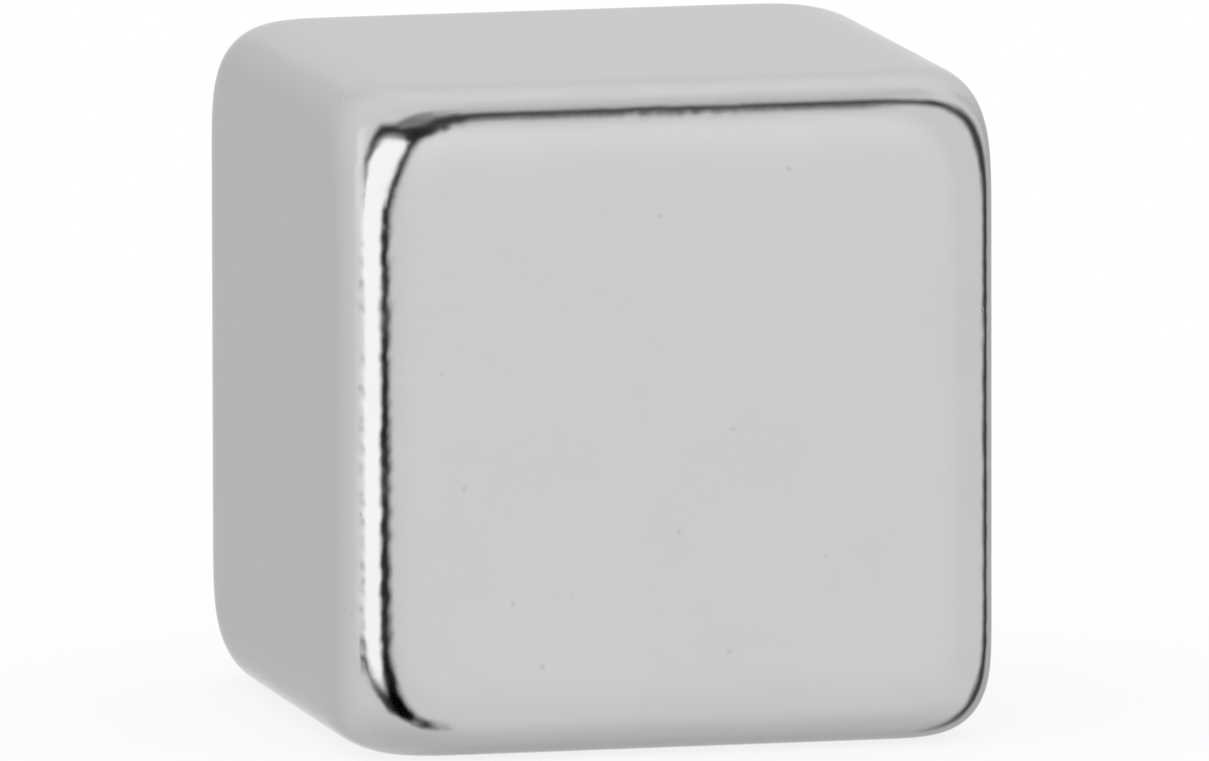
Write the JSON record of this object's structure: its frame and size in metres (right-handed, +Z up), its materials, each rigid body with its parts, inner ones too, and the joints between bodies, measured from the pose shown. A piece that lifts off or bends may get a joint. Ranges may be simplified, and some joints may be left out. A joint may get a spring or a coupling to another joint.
{
  "type": "block magnet",
  "caption": "Plated cube-shaped permanent magnet with flat faces, softly rounded edges and worn-back rounder corners.",
  "frame": {"origin": "middle of the face that the block rests on", "axes": "+Z up, square to the resting face; +X to the right across the front face; the front face looks along -Y"},
  "size_m": [0.005, 0.005, 0.005],
  "materials": {
    "nickel_plating": "bright nickel plating over a tumbled sintered block, slightly satin"
  },
  "bodies": {
    "root": {"magnet": "nickel_plating"}
  },
  "joints": []
}
